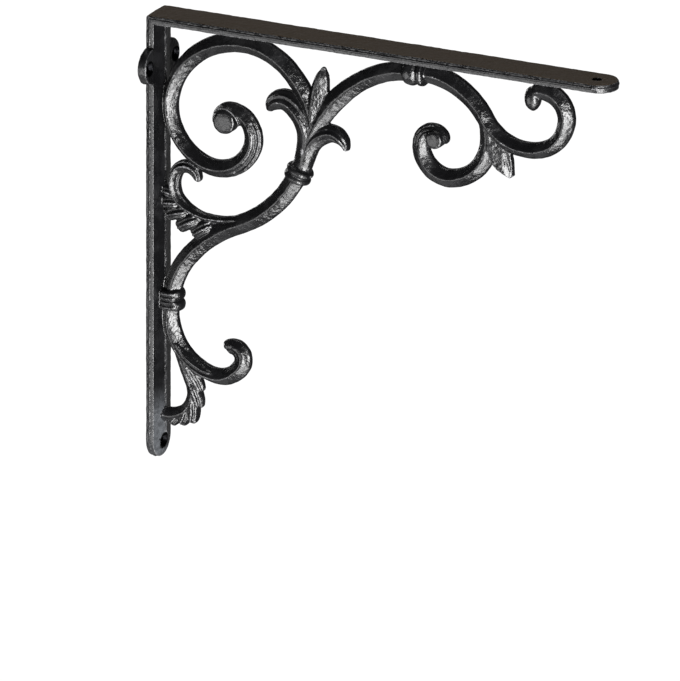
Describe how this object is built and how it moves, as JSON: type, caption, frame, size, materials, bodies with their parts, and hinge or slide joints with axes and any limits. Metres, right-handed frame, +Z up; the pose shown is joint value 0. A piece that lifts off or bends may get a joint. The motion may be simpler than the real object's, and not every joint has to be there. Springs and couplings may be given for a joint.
{
  "type": "ornate cast iron shelf bracket",
  "caption": "Cast iron shelf bracket: two straps in an L joined by scrolls with a leaf spray, carrying a shelf off a wall.",
  "frame": {"origin": "on the wall face of the wall strap, at mid-width, level with the two ear screws and halfway between them", "axes": "+X out from the wall under the shelf, +Y along the wall across the bracket, +Z up; the shelf face lies 26.8 mm above the origin"},
  "size_m": [0.2616, 0.0388, 0.2362],
  "materials": {
    "black_enamel": "gloss black enamel over rough casting"
  },
  "bodies": {
    "root": {"bracket": "black_enamel"}
  },
  "joints": []
}
